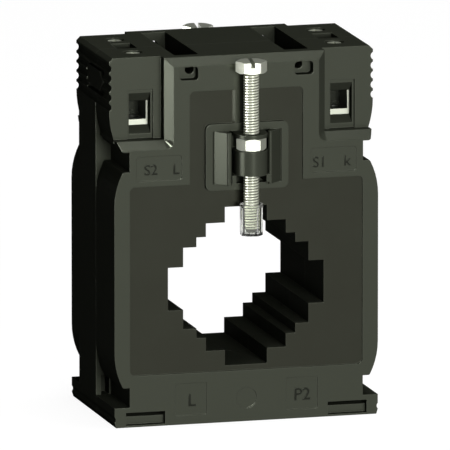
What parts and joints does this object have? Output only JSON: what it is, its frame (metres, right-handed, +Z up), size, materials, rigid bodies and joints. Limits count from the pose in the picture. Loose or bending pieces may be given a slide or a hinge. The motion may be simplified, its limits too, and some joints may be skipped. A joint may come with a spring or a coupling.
{
  "type": "current transformer",
  "caption": "Window-type current transformer for busbars and cable, with two screw clamps that press on the bar and double screw terminals at the top.",
  "frame": {"origin": "centre of the underside, midway between the two faces", "axes": "+Z up from the feet to the terminals, +Y through the window from the front face to the back, +X across the face"},
  "size_m": [0.0696, 0.0594, 0.0948],
  "materials": {
    "shell_front": "fine moulded satin black thermoplastic",
    "shell_rear": "fine moulded satin black thermoplastic",
    "core_steel": "wound silicon steel strip",
    "cup_plastic": "natural moulded plastic",
    "enamelled_wire": "enamelled copper wire",
    "tape": "polyester tape",
    "lead_sheath": "insulated wire",
    "tinned_brass": "tinned brass",
    "nickel_plate": "nickel plated steel",
    "zinc_screw": "bright zinc plated steel",
    "clear_cap": "clear moulded plastic"
  },
  "bodies": {
    "root": {"front_shell": "shell_front", "rear_shell": "shell_rear", "core": "core_steel", "core_cup_front": "cup_plastic", "core_cup_rear": "cup_plastic", "secondary_winding": "enamelled_wire", "winding_band": "tape", "lead_left": "lead_sheath", "lead_right": "lead_sheath", "terminal_bar_left": "tinned_brass", "terminal_bar_right": "tinned_brass", "clamp_nut_front": "zinc_screw", "clamp_nut_rear": "zinc_screw"},
    "terminal_screw_left_front": {"terminal_screw_left_front": "nickel_plate"},
    "cage_left_front": {"cage_left_front": "nickel_plate"},
    "terminal_screw_left_rear": {"terminal_screw_left_rear": "nickel_plate"},
    "cage_left_rear": {"cage_left_rear": "nickel_plate"},
    "terminal_screw_right_front": {"terminal_screw_right_front": "nickel_plate"},
    "cage_right_front": {"cage_right_front": "nickel_plate"},
    "terminal_screw_right_rear": {"terminal_screw_right_rear": "nickel_plate"},
    "cage_right_rear": {"cage_right_rear": "nickel_plate"},
    "screw_cap_front": {"screw_cap_front": "clear_cap"},
    "clamp_screw_front": {"clamp_screw_front": "zinc_screw"},
    "screw_cap_rear": {"screw_cap_rear": "clear_cap"},
    "clamp_screw_rear": {"clamp_screw_rear": "zinc_screw"}
  },
  "joints": [
    {"name": "terminal_left_front_turn", "type": "hinge", "parent": "root", "child": "terminal_screw_left_front", "pos_m": [-0.02659, -0.0088, 0.09247], "axis": [0, 0, 1], "range_deg": [-3169, 0]},
    {"name": "cage_left_front_rise", "type": "slide", "parent": "root", "child": "cage_left_front", "axis": [0, 0, 1], "range_m": [0, 0.0044]},
    {"name": "terminal_left_rear_turn", "type": "hinge", "parent": "root", "child": "terminal_screw_left_rear", "pos_m": [-0.02659, 0.0088, 0.09247], "axis": [0, 0, 1], "range_deg": [-3169, 0]},
    {"name": "cage_left_rear_rise", "type": "slide", "parent": "root", "child": "cage_left_rear", "axis": [0, 0, 1], "range_m": [0, 0.0044]},
    {"name": "terminal_right_front_turn", "type": "hinge", "parent": "root", "child": "terminal_screw_right_front", "pos_m": [0.02659, -0.0088, 0.09247], "axis": [0, 0, 1], "range_deg": [-3169, 0]},
    {"name": "cage_right_front_rise", "type": "slide", "parent": "root", "child": "cage_right_front", "axis": [0, 0, 1], "range_m": [0, 0.0044]},
    {"name": "terminal_right_rear_turn", "type": "hinge", "parent": "root", "child": "terminal_screw_right_rear", "pos_m": [0.02659, 0.0088, 0.09247], "axis": [0, 0, 1], "range_deg": [-3169, 0]},
    {"name": "cage_right_rear_rise", "type": "slide", "parent": "root", "child": "cage_right_rear", "axis": [0, 0, 1], "range_m": [0, 0.0044]},
    {"name": "clamp_front_travel", "type": "slide", "parent": "root", "child": "screw_cap_front", "axis": [0, 0, 1], "range_m": [-0.01365, 0.00735]},
    {"name": "clamp_front_turn", "type": "hinge", "parent": "screw_cap_front", "child": "clamp_screw_front", "pos_m": [0, -0.02555, 0.09117], "axis": [0, 0, 1], "range_deg": [-7021, 3781]},
    {"name": "clamp_rear_travel", "type": "slide", "parent": "root", "child": "screw_cap_rear", "axis": [0, 0, 1], "range_m": [-0.01365, 0.00735]},
    {"name": "clamp_rear_turn", "type": "hinge", "parent": "screw_cap_rear", "child": "clamp_screw_rear", "pos_m": [0, 0.02555, 0.09117], "axis": [0, 0, 1], "range_deg": [-7021, 3781]}
  ],
  "couplings": [
    {"joint": "terminal_left_front_turn", "follows": "cage_left_front_rise", "rad_per_m": -12566},
    {"joint": "terminal_left_rear_turn", "follows": "cage_left_rear_rise", "rad_per_m": -12566},
    {"joint": "terminal_right_front_turn", "follows": "cage_right_front_rise", "rad_per_m": -12566},
    {"joint": "terminal_right_rear_turn", "follows": "cage_right_rear_rise", "rad_per_m": -12566},
    {"joint": "clamp_front_turn", "follows": "clamp_front_travel", "rad_per_m": 8976},
    {"joint": "clamp_rear_turn", "follows": "clamp_rear_travel", "rad_per_m": 8976}
  ]
}
